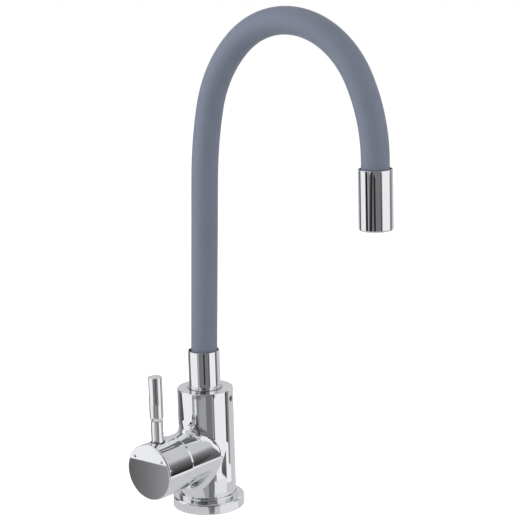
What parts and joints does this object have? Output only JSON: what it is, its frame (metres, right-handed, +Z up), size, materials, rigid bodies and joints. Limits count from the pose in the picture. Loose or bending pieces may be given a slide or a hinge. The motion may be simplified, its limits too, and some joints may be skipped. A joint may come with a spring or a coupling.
{
  "type": "kitchen mixer tap",
  "caption": "Single-lever kitchen mixer tap: chrome column with a side lever cap and pin, and a tall bendable hose spout that swivels.",
  "frame": {"origin": "centre of the base ring's underside, on the deck, on the axis of the column", "axes": "+Z up along the column, +X towards the outlet in its rest position, -Y along the lever cap's axis, out of the boss"},
  "size_m": [0.2131, 0.0983, 0.4058],
  "materials": {
    "polished_chrome": "polished chrome plate on brass",
    "brass": "turned, bare",
    "stainless": "plain stainless steel",
    "slate_silicone": "matt silicone",
    "black_rubber": "moulded nitrile",
    "ceramic": "lapped alumina",
    "white_plastic": "moulded acetal",
    "water_tube": "extruded polyethylene",
    "blue_enamel": "enamel fill",
    "red_enamel": "enamel fill"
  },
  "bodies": {
    "fixed_body": {"tap_body": "polished_chrome", "base_ring": "polished_chrome", "base_gasket": "black_rubber", "body_o_ring": "black_rubber", "spout_set_screw": "stainless", "swivel_washer": "white_plastic", "cartridge_base": "white_plastic", "cartridge_port_seals": "black_rubber", "fixed_disc": "ceramic", "cartridge_housing": "white_plastic", "cartridge_nut": "brass", "trim_dome": "polished_chrome"},
    "temperature_carrier": {"lever_carrier": "white_plastic", "lever_pivot_pin": "stainless"},
    "disc_slider": {"moving_disc": "ceramic", "disc_coupler": "white_plastic"},
    "lever": {"lever_spindle": "stainless", "handle_cap": "polished_chrome", "handle_grub_screw": "stainless", "lever_stem": "polished_chrome", "lever_grip": "polished_chrome", "lever_washer": "black_rubber", "cold_mark": "blue_enamel", "hot_mark": "red_enamel"},
    "spout": {"swivel_nipple": "brass", "nipple_o_rings": "black_rubber", "nipple_glide_ring": "white_plastic", "lower_ferrule": "polished_chrome", "lower_crimp": "stainless", "hose_sleeve_lower": "slate_silicone", "hose_core_lower": "stainless", "hose_tube_lower": "water_tube"},
    "spout_end": {"hose_sleeve_upper": "slate_silicone", "hose_core_upper": "stainless", "hose_tube_upper": "water_tube", "outlet_crimp": "stainless", "outlet_fitting": "brass", "outlet_ferrule": "polished_chrome", "outlet_o_ring": "black_rubber", "aerator_housing": "polished_chrome", "aerator_insert": "white_plastic", "aerator_screen": "stainless", "aerator_gasket": "black_rubber"}
  },
  "joints": [
    {"name": "temperature", "type": "hinge", "parent": "fixed_body", "child": "temperature_carrier", "pos_m": [0, -0.0366, 0.046], "axis": [0, -1, 0], "range_deg": [-45, 45]},
    {"name": "flow", "type": "hinge", "parent": "temperature_carrier", "child": "lever", "pos_m": [0, -0.0366, 0.046], "axis": [1, 0, 0], "range_deg": [0, 25]},
    {"name": "disc_slide", "type": "slide", "parent": "temperature_carrier", "child": "disc_slider", "axis": [0, 0, 1], "range_m": [0, 0.00456]},
    {"name": "spout_swivel", "type": "hinge", "parent": "fixed_body", "child": "spout", "pos_m": [0, 0, 0.0987], "axis": [0, 0, 1], "continuous": true},
    {"name": "spout_bend", "type": "hinge", "parent": "spout", "child": "spout_end", "pos_m": [0.09367, 0, 0.39526], "axis": [0, 1, 0], "range_deg": [-25, 25]}
  ],
  "couplings": [
    {"joint": "disc_slide", "follows": "flow", "m_per_rad": 0.010417}
  ]
}
